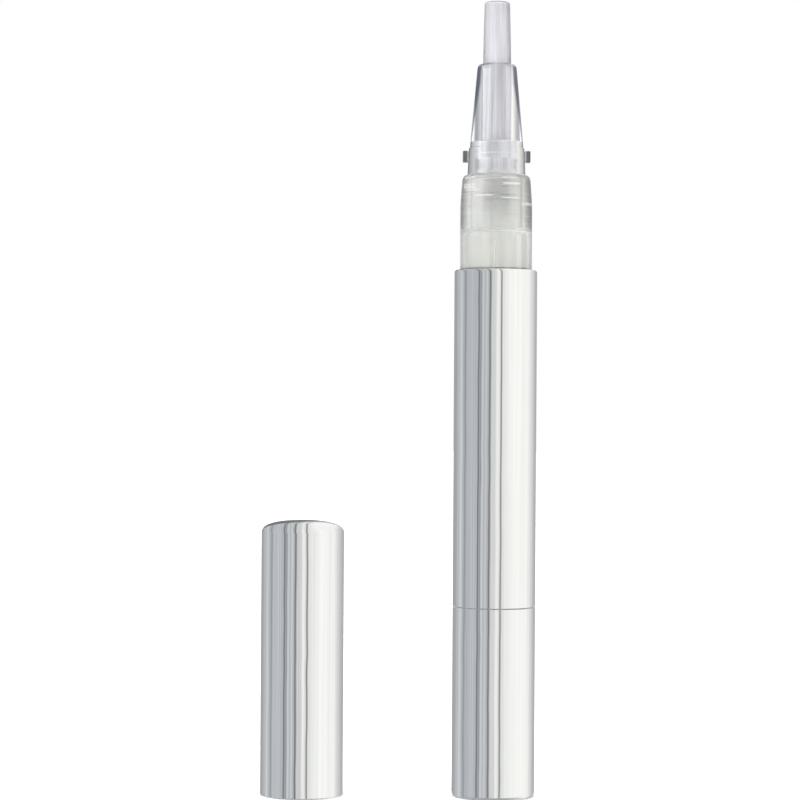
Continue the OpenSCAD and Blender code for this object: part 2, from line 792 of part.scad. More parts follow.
knob_sleeve();
knob_core();
drive_tube();
click_ring();
ratchet_spring();
ratchet_wheel();
housing();
guide_nut();
screw_rod();
piston();
tank();
front_sleeve();
nozzle_seal();
nozzle();
brush_clamp();
feed_tube();
brush();
cap_shell();
cap_liner();
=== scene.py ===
import json
import math
import bpy
import numpy as np
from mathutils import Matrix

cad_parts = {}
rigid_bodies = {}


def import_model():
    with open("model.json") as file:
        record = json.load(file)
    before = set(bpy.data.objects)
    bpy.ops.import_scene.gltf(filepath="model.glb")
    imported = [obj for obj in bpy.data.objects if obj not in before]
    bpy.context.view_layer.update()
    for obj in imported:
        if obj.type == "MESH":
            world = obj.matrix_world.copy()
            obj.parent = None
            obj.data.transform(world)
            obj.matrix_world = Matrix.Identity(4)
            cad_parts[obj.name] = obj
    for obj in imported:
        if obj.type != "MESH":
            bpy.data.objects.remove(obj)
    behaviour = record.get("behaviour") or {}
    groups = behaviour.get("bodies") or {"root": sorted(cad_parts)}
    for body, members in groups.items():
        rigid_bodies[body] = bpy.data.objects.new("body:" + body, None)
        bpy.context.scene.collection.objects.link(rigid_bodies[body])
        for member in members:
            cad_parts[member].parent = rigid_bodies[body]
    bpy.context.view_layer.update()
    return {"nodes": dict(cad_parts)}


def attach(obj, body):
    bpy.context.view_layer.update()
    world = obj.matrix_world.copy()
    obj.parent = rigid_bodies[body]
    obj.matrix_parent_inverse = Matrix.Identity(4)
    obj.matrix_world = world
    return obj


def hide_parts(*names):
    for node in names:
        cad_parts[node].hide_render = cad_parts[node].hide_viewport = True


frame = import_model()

mm = 0.001
rng = np.random.default_rng(7)
nodes = frame["nodes"]
print("frame loaded:", len(nodes), "nodes")


# Meshes

def signedVolume(points, faces):
    # sum over the faces of corner . (corner x corner) / 6: negative when the faces look inwards
    a, b, c, d = (points[faces[:, k]] for k in range(4))
    halves = np.einsum("ij,ij->i", a, np.cross(b, c)) + np.einsum("ij,ij->i", a, np.cross(c, d))
    return float(halves.sum()) / 6


def meshPiece(name, points, faces, material, body):
    # a square with a repeated corner becomes a triangle
    if signedVolume(points, faces) < 0:
        faces = faces[:, ::-1]
    mesh = bpy.data.meshes.new(name)
    mesh.from_pydata(points.tolist(), [], [[*dict.fromkeys(face)] for face in faces.tolist()])
    mesh.polygons.foreach_set("use_smooth", np.ones(len(mesh.polygons), bool))
    mesh.materials.append(material)
    mesh.update()
    piece = bpy.data.objects.new(name, mesh)
    bpy.context.scene.collection.objects.link(piece)
    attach(piece, body)
    return piece


def fullTurn(sides):
    return np.arange(sides) * 2 * np.pi / sides


def gridFaces(rows, cols, closedRows):
    # one square for each cell of a grid whose columns wrap round, and its rows too if it is a ring
    i, j = np.meshgrid(np.arange(rows if closedRows else rows - 1), np.arange(cols), indexing="ij")
    i, j = i.ravel(), j.ravel()
    k, m = (i + 1) % rows, (j + 1) % cols
    return np.stack([i * cols + j, i * cols + m, k * cols + m, k * cols + j], axis=1)


def poleGrid(points):
    # a grid whose first and last rows shrink to a pole: each of the two rows becomes one point
    rows, cols = points.shape[:2]
    faces = np.clip(gridFaces(rows, cols, False) - (cols - 1), 0, (rows - 2) * cols + 1)
    return np.concatenate([points[0, :1], points[1:-1].reshape(-1, 3), points[-1, :1]]), faces


def softProfile(corners, radius, steps=6, mostCut=0.36, hold=0.3):
    # each corner of a closed outline becomes a quadratic curve from one side to the next, with a
    # point held a little way along each side so that the flat stretches stay flat in the shading
    p = np.array(corners, float)
    back, ahead = np.roll(p, 1, axis=0) - p, np.roll(p, -1, axis=0) - p
    backLen, aheadLen = (np.linalg.norm(v, axis=1)[:, None] for v in (back, ahead))
    cut = np.minimum(np.asarray(radius, float).reshape(-1, 1), mostCut * np.minimum(backLen, aheadLen))
    inward, outward = back / backLen * cut, ahead / aheadLen * cut
    start, end = p + inward, p + outward
    t = np.linspace(0, 1, steps)[None, :, None]
    curve = (1 - t) ** 2 * start[:, None] + 2 * t * (1 - t) * p[:, None] + t ** 2 * end[:, None]
    rows = [(start + inward * hold)[:, None], curve, (end + outward * hold)[:, None]]
    return np.concatenate(rows, axis=1).reshape(-1, 2)


def turnedPoints(profile, sides):
    # (radius, height) swept round Z: x = r cos a, y = r sin a
    a = fullTurn(sides)
    r, z = profile[:, 0, None], profile[:, 1, None]
    return np.stack([r * np.cos(a), r * np.sin(a), z + 0 * a], axis=-1)


def turnedPiece(name, profile, sides, material, body):
    points = turnedPoints(profile * mm, sides)
    return meshPiece(name, points.reshape(-1, 3), gridFaces(len(points), sides, True), material, body)


# Shader helpers

def newMaterial(name):
    material = bpy.data.materials.new(name)
    material.use_nodes = True
    return material, material.node_tree, material.node_tree.nodes["Principled BSDF"]


def feed(tree, node, **inputs):
    # an input takes a link or a plain value, and i0, i1 and so on name a socket by its number
    for key, value in inputs.items():
        byNumber = key[0] == "i" and key[1:].isdigit()
        socket = node.inputs[int(key[1:]) if byNumber else key.replace("_", " ")]
        if isinstance(value, bpy.types.NodeSocket):
            tree.links.new(value, socket)
        else:
            socket.default_value = value
    return node


def addNode(tree, kind, settings=None, **inputs):
    node = tree.nodes.new("ShaderNode" + kind)
    for key, value in (settings or {}).items():
        setattr(node, key, value)
    return feed(tree, node, **inputs)


def calc(tree, operation, *values, clamp=False):
    inputs = {f"i{k}": value for k, value in enumerate(values)}
    return addNode(tree, "Math", {"operation": operation, "use_clamp": clamp}, **inputs).outputs[0]


def vectorCalc(tree, operation, *values, output="Vector"):
    inputs = {f"i{k}": value for k, value in enumerate(values)}
    return addNode(tree, "VectorMath", {"operation": operation}, **inputs).outputs[output]


def stretch(tree, value, span=(0.0, 1.0), to=(0.0, 1.0), smooth=False):
    # carries span to the range in to and holds past both ends, with soft ends where smooth is set
    return addNode(tree, "MapRange", {"interpolation_type": "SMOOTHSTEP" if smooth else "LINEAR"},
                   Value=value, From_Min=span[0], From_Max=span[1], To_Min=to[0], To_Max=to[1]).outputs[0]


def mixColour(tree, share, first, second, blend="MIX"):
    first, second = ((*tone, 1) if isinstance(tone, tuple) else tone for tone in (first, second))
    return addNode(tree, "Mix", {"data_type": "RGBA", "blend_type": blend}, i0=share, i6=first,
                   i7=second).outputs[2]


def mixFloat(tree, share, first, second):
    return addNode(tree, "Mix", {"data_type": "FLOAT"}, i0=share, i2=first, i3=second).outputs[0]


def noise(tree, place, scale, detail, **inputs):
    return addNode(tree, "TexNoise", Vector=place, Scale=scale, Detail=detail, **inputs).outputs[0]


def axisOf(tree, vector, name):
    return addNode(tree, "SeparateXYZ", Vector=vector).outputs[name]


def newGroup(name, inputs, outputs):
    group = bpy.data.node_groups.new(name, "ShaderNodeTree")
    for label, value in inputs.items():
        socket = group.interface.new_socket(label, in_out="INPUT", socket_type="NodeSocketFloat")
        socket.default_value = value
    for label, kind in outputs.items():
        group.interface.new_socket(label, in_out="OUTPUT", socket_type="NodeSocket" + kind)
    return group, group.nodes.new("NodeGroupInput"), group.nodes.new("NodeGroupOutput")


def useGroup(tree, group, **inputs):
    return addNode(tree, "Group", {"node_tree": group}, **inputs).outputs


def ramp(tree, factor, stops):
    # every place is set before the first colour
    node = addNode(tree, "ValToRGB", i0=factor)
    line, stops = node.color_ramp, sorted(stops)
    for place, colour in stops[2:]:
        line.elements.new(place)
    for element, (place, colour) in zip(line.elements, stops):
        element.position = place
    for element, (place, colour) in zip(line.elements, stops):
        element.color = (*colour, 1)
    return node.outputs[0]


# Camera at the photograph's angle, and the studio

view = {
    "fromX": -15.65, "fromY": -444.0, "fromZ": 64.95, "lens": 121.4, "sensor": 36.0, "roll": -0.35,
    "clip": (0.01, 20.0),
}


def setCamera(v):
    lens = bpy.data.cameras.new("camera")
    lens.lens, lens.sensor_width = v["lens"], v["sensor"]
    lens.clip_start, lens.clip_end = v["clip"]
    eye = bpy.data.objects.new("camera", lens)
    eye.location = (v["fromX"] * mm, v["fromY"] * mm, v["fromZ"] * mm)
    eye.rotation_euler = (math.pi / 2, math.radians(v["roll"]), 0)
    bpy.context.scene.collection.objects.link(eye)
    bpy.context.scene.camera = eye
    bpy.context.scene.view_settings.view_transform = "Standard"


studio = {
    "sunPower": 1.7, "sunAngle": 1.2, "backdrop": (1.0, 1.0, 1.0),
    # floor, in metres
    "floorRadius": 3.0, "floorRings": [0.01, 0.1, 0.4, 1.0], "floorSides": 96,
    "floorColour": (0.95, 0.95, 0.95), "paperScale": 30.0, "paperTone": (0.985, 1.0),
    # brightness of the tent that lights the plastics, from the left wall to the right one
    "tent": [(-1.0, 0.40), (-0.90, 0.50), (-0.78, 1.25), (-0.30, 1.45), (0.0, 1.46), (0.30, 0.90),
             (0.70, 0.45), (1.0, 0.32)],
    "tentBlue": 1.01,
    # the crown's own curve, and how far the eye looks down and across at it
    "crownFlat": 0.309, "crownPower": 2.5, "lookDown": 0.045, "lookAcross": 0.036, "acrossGain": 2.0,
    # fine lines between the cards, and how strong they are from the left to the bright side
    "lineDensity": 42.0, "lineSoft": (0.35, 0.65), "lineTone": (0.86, 1.06), "lineSpan": (0.0, 0.4),
    "lineShare": (1.0, 0.2),
    # dull line along the top of the crown: how far back, how steep, and its tone from left to right
    "crestBack": (0.94, 0.985), "crestSlope": (0.5, 1.0), "crestSpan": (-0.4, 0.3),
    "crestTone": (0.2, 0.55), "crestLean": 0.1,
    "footDip": (-0.55, -0.9), "footTone": (0.42, 0.43, 0.44),
    # brightness of the cards round the object, by the share of the barrel's width that mirrors them
    "cards": [
        (-1.0, 0.34, 0.34, 0.35), (-0.93, 0.46, 0.47, 0.48), (-0.84, 0.69, 0.71, 0.72),
        (-0.77, 0.55, 0.57, 0.60), (-0.73, 0.34, 0.36, 0.40), (-0.69, 0.52, 0.54, 0.57),
        (-0.58, 0.59, 0.61, 0.64), (-0.45, 0.55, 0.58, 0.61), (-0.41, 0.15, 0.16, 0.18),
        (-0.385, 0.50, 0.52, 0.55), (-0.36, 0.34, 0.36, 0.38), (-0.325, 0.70, 0.72, 0.73),
        (-0.27, 0.54, 0.57, 0.59), (-0.235, 0.68, 0.70, 0.71), (-0.18, 0.56, 0.58, 0.58),
        (-0.145, 0.16, 0.17, 0.17), (-0.10, 0.74, 0.75, 0.75), (-0.06, 0.70, 0.71, 0.70),
        (0.0, 0.80, 0.81, 0.79), (0.06, 1.0, 1.0, 0.98), (0.10, 0.84, 0.84, 0.82),
        (0.13, 0.17, 0.17, 0.16), (0.165, 0.88, 0.88, 0.85), (0.25, 0.98, 0.99, 0.95),
        (0.34, 1.04, 1.05, 1.00), (0.60, 1.05, 1.05, 1.01), (0.80, 1.0, 1.0, 0.97),
        (0.87, 0.78, 0.78, 0.76), (0.95, 0.52, 0.52, 0.52), (1.0, 0.34, 0.34, 0.34),
    ],
}


def mirroredCards(tree, s, x, y, z):
    # the mirrored ray less the ray that came in lies along the wall's normal, so the ray gives the share
    # of the barrel's width at which the wall stands, and a card is one upright band on a barrel and on
    # its crown: share = sin(bearing) (1 + (flat * slope) ^ (p / (p - 1))) ^ (-1 / p)
    power = s["crownPower"]
    raised = calc(tree, "MULTIPLY", z, s["acrossGain"], clamp=True)
    across = calc(tree, "MULTIPLY_ADD", raised, s["lookAcross"], x)
    level = addNode(tree, "CombineXYZ", X=across, Y=calc(tree, "SUBTRACT", 1.0, y)).outputs[0]
    far = vectorCalc(tree, "LENGTH", level, output="Value")
    slope = calc(tree, "DIVIDE", calc(tree, "ADD", z, s["lookDown"], clamp=True), far)
    bent = calc(tree, "POWER", calc(tree, "MULTIPLY", slope, s["crownFlat"]), power / (power - 1))
    shrink = calc(tree, "POWER", calc(tree, "ADD", bent, 1.0), -1 / power)
    share = calc(tree, "MULTIPLY", calc(tree, "DIVIDE", across, far), shrink)
    turn = calc(tree, "MULTIPLY_ADD", calc(tree, "ARCSINE", share), 1 / math.pi, 0.5)
    cards = ramp(tree, turn, [(0.5 + math.asin(place) / math.pi, tone) for place, *tone in s["cards"]])
    hair = addNode(tree, "TexNoise", {"noise_dimensions": "1D"}, W=share, Scale=s["lineDensity"],
                   Detail=2.0)
    hairTone = stretch(tree, hair.outputs[0], s["lineSoft"], s["lineTone"])
    lineShare = stretch(tree, share, s["lineSpan"], s["lineShare"])
    lined = mixColour(tree, lineShare, cards, hairTone, "MULTIPLY")
    leaned = calc(tree, "MULTIPLY_ADD", calc(tree, "MINIMUM", share, 0.0), -s["crestLean"], y)
    beyond = stretch(tree, leaned, s["crestBack"], smooth=True)
    above = stretch(tree, slope, s["crestSlope"], smooth=True)
    crest = calc(tree, "MULTIPLY", beyond, above)
    topped = mixColour(tree, crest, lined, stretch(tree, share, s["crestSpan"], s["crestTone"]))
    return mixColour(tree, stretch(tree, z, s["footDip"], smooth=True), topped, s["footTone"])


def setWorld(s):
    # mirrored rays meet the cards, all others the tent, and the eye sees the plain backdrop
    world = bpy.data.worlds.new("studio")
    world.use_nodes = True
    bpy.context.scene.world = world
    tree = world.node_tree
    tree.nodes.clear()
    axes = addNode(tree, "SeparateXYZ", Vector=addNode(tree, "TexCoord").outputs["Generated"])
    cards = mirroredCards(tree, s, *(axes.outputs[name] for name in "XYZ"))
    side = stretch(tree, axes.outputs["X"], (-1.0, 1.0))
    tent = ramp(tree, side, [(0.5 + x / 2, (v, v, s["tentBlue"] * v)) for x, v in s["tent"]])
    path = addNode(tree, "LightPath")
    met = mixColour(tree, path.outputs["Is Glossy Ray"], tent, cards)
    shown = mixColour(tree, path.outputs["Is Camera Ray"], met, s["backdrop"])
    light = addNode(tree, "Background", Color=shown, Strength=1.0)
    addNode(tree, "OutputWorld", Surface=light.outputs[0])


def setLamp(s):
    top = bpy.data.lights.new("topLight", "SUN")
    top.energy, top.angle = s["sunPower"], s["sunAngle"]
    bpy.context.scene.collection.objects.link(bpy.data.objects.new("topLight", top))


def setFloor(s):
    # level rings round the origin and a disc in the middle one
    sides = s["floorSides"]
    rings = np.array(s["floorRings"]) * s["floorRadius"]
    x, y = rings[:, None] * np.cos(fullTurn(sides)), rings[:, None] * np.sin(fullTurn(sides))
    points = np.stack([x, y, 0 * x], axis=-1).reshape(-1, 3)
    faces = gridFaces(rings.size, sides, False).tolist() + [list(range(sides))]
    mesh = bpy.data.meshes.new("floor")
    mesh.from_pydata(points.tolist(), [], faces)
    material, tree, shader = newMaterial("floorPaper")
    paper = noise(tree, addNode(tree, "TexCoord").outputs["Object"], s["paperScale"], 4.0)
    tone = stretch(tree, paper, to=s["paperTone"])
    feed(tree, shader, Base_Color=mixColour(tree, 1.0, s["floorColour"], tone, "MULTIPLY"), Roughness=0.9,
         Specular_IOR_Level=0.1)
    mesh.materials.append(material)
    floor = bpy.data.objects.new("floor", mesh)
    bpy.context.scene.collection.objects.link(floor)


setCamera(view)
setWorld(studio)
setLamp(studio)
setFloor(studio)
print("camera and studio set")


# Finishes: heights and places in them are in metres, as object coordinates are

drawn = {"fineDetail": 3.0, "fineRough": 0.6, "broadScale": 0.32, "broadShare": 0.45, "lineHeight": 0.00001,
         "waveScale": 120.0, "waveHeight": 0.0001, "steepSpan": (0.9, 0.4)}


def makeStreaks(d):
    # lengthwise drawing lines, noise squeezed across the barrel and stretched along it, over a slow wave;
    # both fade out where the surface turns up or down
    group, into, out = newGroup(
        "drawnStreaks", {"Across": 1400.0, "Along": 14.0, "Depth": 1.0, "Wave": 0.5},
        {"Mask": "Float", "Normal": "Vector"})
    across, along, depth, wave = (into.outputs[name] for name in ("Across", "Along", "Depth", "Wave"))
    place = addNode(group, "TexCoord").outputs
    scale = addNode(group, "CombineXYZ", X=across, Y=across, Z=along).outputs[0]
    spot = vectorCalc(group, "MULTIPLY", place["Object"], scale)
    fine = noise(group, spot, 1.0, d["fineDetail"], Roughness=d["fineRough"])
    both = mixFloat(group, d["broadShare"], fine, noise(group, spot, d["broadScale"], 1.0))
    level = calc(group, "ABSOLUTE", axisOf(group, place["Normal"], "Z"))
    steep = stretch(group, level, d["steepSpan"], smooth=True)
    mask = mixFloat(group, steep, 0.5, both)
    slow = noise(group, place["Object"], d["waveScale"], 1.0)
    swell = addNode(group, "Bump", Strength=calc(group, "MULTIPLY", wave, steep), Distance=d["waveHeight"],
                    Height=slow).outputs[0]
    bump = addNode(group, "Bump", Strength=depth, Distance=d["lineHeight"], Height=mask, Normal=swell)
    feed(group, out, Mask=mask, Normal=bump.outputs[0])
    return group


moulded = {"size": 2500.0, "depth": 0.3, "grainDetail": 3.0, "grainHeight": 0.00002, "cloudScale": 180.0,
           "cloudDetail": 2.0, "roughSpread": 0.05}


def makeGrain(d):
    # moulded plastic: a soft cloud for tone and a fine grain for the surface
    group, into, out = newGroup("mouldedGrain", {"Size": d["size"], "Depth": d["depth"]},
                                {"Cloud": "Float", "Grain": "Float", "Normal": "Vector"})
    place = addNode(group, "TexCoord").outputs["Object"]
    fine = noise(group, place, into.outputs["Size"], d["grainDetail"])
    bump = addNode(group, "Bump", Distance=d["grainHeight"], Height=fine, Strength=into.outputs["Depth"])
    feed(group, out, Cloud=noise(group, place, d["cloudScale"], d["cloudDetail"]), Grain=fine,
         Normal=bump.outputs[0])
    return group


streaks, grain = makeStreaks(drawn), makeGrain(moulded)
toneSpan, roughSpan = (0.35, 0.65), (0.3, 0.7)   # where noise goes from the dark tone to the light one


def toneBetween(tree, mask, dark, light):
    return mixColour(tree, stretch(tree, mask, toneSpan), dark, light)


def roughBetween(tree, mask, span):
    return stretch(tree, mask, roughSpan, span)


silver = {"dark": (0.78, 0.79, 0.81), "light": (0.94, 0.94, 0.94), "rough": (0.04, 0.01), "across": 1500.0,
          "along": 10.0, "depth": 0.12, "wave": 1.0}


def silverFinish(s):
    material, tree, shader = newMaterial("streakedSilver")
    lines = useGroup(tree, streaks, Across=s["across"], Along=s["along"], Depth=s["depth"], Wave=s["wave"])
    feed(tree, shader, Base_Color=toneBetween(tree, lines["Mask"], s["dark"], s["light"]),
         Roughness=roughBetween(tree, lines["Mask"], s["rough"]), Normal=lines["Normal"], Metallic=1.0)
    return material


steel = {"dark": (0.42, 0.42, 0.44), "light": (0.62, 0.62, 0.63), "rough": (0.18, 0.34), "grain": 3000.0}


def steelFinish(s):
    material, tree, shader = newMaterial("springSteel")
    mask = useGroup(tree, streaks, Across=s["grain"], Along=s["grain"])["Mask"]
    feed(tree, shader, Base_Color=toneBetween(tree, mask, s["dark"], s["light"]),
         Roughness=roughBetween(tree, mask, s["rough"]), Metallic=1.0)
    return material


def plasticFinish(name, dark, light, rough, **plain):
    material, tree, shader = newMaterial(name)
    skin = useGroup(tree, grain, Size=moulded["size"], Depth=moulded["depth"])
    span = (rough - moulded["roughSpread"], rough + moulded["roughSpread"])
    feed(tree, shader, Base_Color=toneBetween(tree, skin["Cloud"], dark, light),
         Roughness=roughBetween(tree, skin["Grain"], span), Normal=skin["Normal"], **plain)
    return material


glass = {
    "body": (0.93, 0.93, 0.95), "bright": (0.97, 0.97, 0.98), "rough": (0.03, 0.07), "bend": 1.49,
    "grainSize": 1500.0, "grainDepth": 0.01,
    # the dark colour below is a painted shade where the wall turns away from the eye, on the cone and at
    # the rim
    "edge": (0.03, 0.04, 0.08), "coneSpan": (0.1075, 0.117), "edgeStart": (0.62, 0.28), "edgeWidth": 0.2,
    "rimSpan": (0.1196, 0.1200), "rimEdge": 0.7,
    "footSpan": (0.1069, 0.1074), "footTone": (0.88, 1.0), "frost": (0.16, 0.0),
}


def clearFinish(g):
    # painted shade darkens the wall where it turns away from the eye, more broadly high up the
    # cone, and the foot is frosted
    material, tree, shader = newMaterial("clearPlastic")
    skin = useGroup(tree, grain, Size=g["grainSize"], Depth=g["grainDepth"])
    height = axisOf(tree, addNode(tree, "TexCoord").outputs["Object"], "Z")
    facing = addNode(tree, "LayerWeight", Blend=0.5).outputs["Facing"]
    past = calc(tree, "SUBTRACT", facing, stretch(tree, height, g["coneSpan"], g["edgeStart"]))
    edge = stretch(tree, past, (0.0, g["edgeWidth"]), smooth=True)
    edge = calc(tree, "MULTIPLY", edge, stretch(tree, height, g["rimSpan"], (1.0, g["rimEdge"])))
    edge = calc(tree, "MULTIPLY", edge, addNode(tree, "LightPath").outputs["Is Camera Ray"])
    foot, frost = (stretch(tree, height, g["footSpan"], g[name]) for name in ("footTone", "frost"))
    tone = mixColour(tree, 1.0, toneBetween(tree, skin["Cloud"], g["body"], g["bright"]), foot, "MULTIPLY")
    rough = calc(tree, "ADD", frost, roughBetween(tree, skin["Grain"], g["rough"]))
    feed(tree, shader, Base_Color=mixColour(tree, edge, tone, g["edge"]), Roughness=rough,
         Normal=skin["Normal"], Transmission_Weight=1.0, IOR=g["bend"])
    return material


lugs = {
    "body": (0.62, 0.62, 0.65), "bright": (0.70, 0.70, 0.72), "dark": (0.10, 0.10, 0.11),
    "rough": (0.1, 0.2), "grainSize": 1500.0, "grainDepth": 0.02, "through": 0.2, "bend": 1.45,
    "outerShadeSpan": (0.0046, 0.0050), "endSpan": (0.5, 0.9), "endShare": 0.35,
}


def lugFinish(g):
    # a lug is clear where it joins the foot, and painted shade darkens its outer half, less so on its end
    material, tree, shader = newMaterial("lugPlastic")
    skin = useGroup(tree, grain, Size=g["grainSize"], Depth=g["grainDepth"])
    place = addNode(tree, "TexCoord").outputs
    far, endwise = (calc(tree, "ABSOLUTE", axisOf(tree, place[name], "X")) for name in ("Object", "Normal"))
    # painted shade on the lug's outer half
    outer = calc(tree, "MULTIPLY", stretch(tree, far, g["outerShadeSpan"], smooth=True),
                 stretch(tree, endwise, g["endSpan"], (1.0, g["endShare"])))
    tone = toneBetween(tree, skin["Cloud"], g["body"], g["bright"])
    feed(tree, shader, Base_Color=mixColour(tree, outer, tone, g["dark"]),
         Roughness=roughBetween(tree, skin["Grain"], g["rough"]), Normal=skin["Normal"],
         Transmission_Weight=g["through"], IOR=g["bend"])
    return material


glow = {
    "dark": (0.66, 0.66, 0.70), "light": (0.94, 0.94, 0.97), "rough": (0.4, 0.5), "across": 2050.0,
    # the bare bundle's rim gets a painted edge shade, and the strands darken in a band at their tips
    "along": 60.0, "edge": (0.36, 0.36, 0.39), "edgeSpan": (0.12, 1.0), "cut": (0.25, 0.25, 0.28),
    "tipDarkSpan": (0.13025, 0.13045),
    # painted light, a glow standing in for light led to the strands: inside the cone from the left, at its
    # foot, and on the bare tip in front
    "lit": (0.17, 0.17, 0.17), "unlit": (0.08, 0.08, 0.08), "insideSpan": (0.1192, 0.1202),
    "key": (-0.9, -0.44, 0.0), "keySpan": (0.72, 0.94), "keyGain": 2.9,
    "footSpan": (0.1070, 0.1074), "footGain": 1.0,
    "front": (-0.05, -1.0, 0.0), "frontSpan": (0.85, 0.99), "frontGain": 0.45,
}


def bristleFinish(g):
    # streaks along the strands, a darker band at their tips, painted shade on the rim of the bare bundle,
    # and a small painted glow
    material, tree, shader = newMaterial("bristleNylon")
    mask = useGroup(tree, streaks, Across=g["across"], Along=g["along"])["Mask"]
    place = addNode(tree, "TexCoord").outputs["Object"]
    height = axisOf(tree, place, "Z")
    inside = stretch(tree, height, g["insideSpan"], (1.0, 0.0))
    bare = calc(tree, "SUBTRACT", 1.0, inside)
    outward = vectorCalc(tree, "NORMALIZE", vectorCalc(tree, "MULTIPLY", place, (1.0, 1.0, 0.0)))
    facing = addNode(tree, "LayerWeight", Blend=0.5, Normal=outward).outputs["Facing"]
    # painted shade on the rim of the bare bundle
    rim = calc(tree, "MULTIPLY", stretch(tree, facing, g["edgeSpan"], smooth=True), bare)
    tone = mixColour(tree, rim, toneBetween(tree, mask, g["dark"], g["light"]), g["edge"])
    # darker in a band at the strands' tips
    tint = mixColour(tree, stretch(tree, height, g["tipDarkSpan"]), tone, g["cut"])
    # painted light: the glow grows towards the key light inside the cone, at the foot, and towards the
    # front on the bare tip
    toKey, toFront = (vectorCalc(tree, "DOT_PRODUCT", outward, g[name], output="Value")
                      for name in ("key", "front"))
    keyed = stretch(tree, toKey, g["keySpan"], (1.0, g["keyGain"]), smooth=True)
    fore = stretch(tree, toFront, g["frontSpan"], (0.0, g["frontGain"]), smooth=True)
    footed = stretch(tree, height, g["footSpan"], (g["footGain"], 0.0))
    gain = calc(tree, "MULTIPLY_ADD", keyed, inside, footed)
    gain = calc(tree, "MULTIPLY_ADD", fore, bare, gain)
    led = toneBetween(tree, mask, g["unlit"], g["lit"])
    lit = addNode(tree, "VectorMath", {"operation": "SCALE"}, i0=led, Scale=gain).outputs[0]
    feed(tree, shader, Base_Color=tint, Roughness=roughBetween(tree, mask, g["rough"]), Emission_Color=lit,
         Emission_Strength=1.0)
    return material


milk = {
    # dark and light are the plastic's own tones, and the raised tone is a painted highlight for the ring
    # lines and the ribs
    "dark": (0.88, 0.89, 0.85), "light": (0.93, 0.935, 0.895), "raised": (0.97, 0.97, 0.95),
    "grainSize": 300.0, "rough": (0.04, 0.08), "through": 0.7, "bend": 1.35,
    # a painted edge shade where the wall turns away from the eye, weaker lower down
    "edge": (0.32, 0.33, 0.33), "edgeSpan": (0.25, 0.8), "lowEdge": 0.45,
    # the plug behind the wall: its tones, a painted shade darkest over its core, its upper end, and how the
    # painted edge shade and the tones come in below it
    "plugTone": (0.86, 0.86, 0.83), "coreShade": (0.66, 0.67, 0.65), "coreShadeSpan": (0.11, 0.04),
    "plugTop": (0.1020, 0.1016), "edgeRise": (0.0922, 0.0940), "toneRise": (0.0922, 0.0986),
    "endZ": 0.0928, "endHalf": 0.0006, "endTone": 0.92, "endRough": 0.3,
    # the short lines of its rings, painted highlights with painted shade in the grooves between
    "zones": 9, "zoneStart": 0.25, "zoneStep": 7.31, "zoneEnds": (0.03, 0.20), "raggedScale": 900.0,
    "ragged": 1.3, "ringStep": 2100.0, "lineSpan": (0.55, 0.70), "grooveSpan": (0.44, 0.33),
    "ringLit": 0.06, "ribLit": 0.09, "ringDark": 0.86,
    # the side towards the light, the side away from it, and the shadow at the sleeve's rim
    "key": (-0.57, -0.82, 0.0), "keySpan": (0.9, 0.99), "keyLit": 0.05, "awaySpan": (0.4, 0.85),
    "awayTone": 0.72, "gap": (0.16, 0.16, 0.16), "gapSpan": (0.0864, 0.08675),
}


def ringMarks(tree, place, m):
    # the plug's rings are painted on as short level lines of highlight, staggered from one ninth of the
    # turn to the next:
    # zone = floor(turn * zones), a line is where noise(zone, height) is high and a groove of painted shade
    # where it is low
    axes = addNode(tree, "SeparateXYZ", Vector=place)
    x, y, z = (axes.outputs[name] for name in "XYZ")
    ragged = noise(tree, addNode(tree, "CombineXYZ", Z=z).outputs[0], m["raggedScale"], 1.0)
    turn = calc(tree, "MULTIPLY_ADD", calc(tree, "ARCTAN2", y, x), m["zones"] / (2 * math.pi),
                m["zones"] / 4 + m["zoneStart"])
    turn = calc(tree, "MULTIPLY_ADD", ragged, m["ragged"], turn)
    zone = calc(tree, "MULTIPLY", calc(tree, "FLOOR", turn), m["zoneStep"])
    inside = stretch(tree, calc(tree, "PINGPONG", turn, 0.5), m["zoneEnds"], smooth=True)
    spot = addNode(tree, "CombineXYZ", X=zone, Z=calc(tree, "MULTIPLY", z, m["ringStep"])).outputs[0]
    level = noise(tree, spot, 1.0, 1.0)
    below = stretch(tree, z, m["plugTop"], smooth=True)
    edged, toned = (calc(tree, "MULTIPLY", stretch(tree, z, m[name], smooth=True), below)
                    for name in ("edgeRise", "toneRise"))
    held = calc(tree, "MULTIPLY", inside, toned)
    line, groove = (calc(tree, "MULTIPLY", stretch(tree, level, m[name], smooth=True), held)
                    for name in ("lineSpan", "grooveSpan"))
    return edged, toned, line, groove


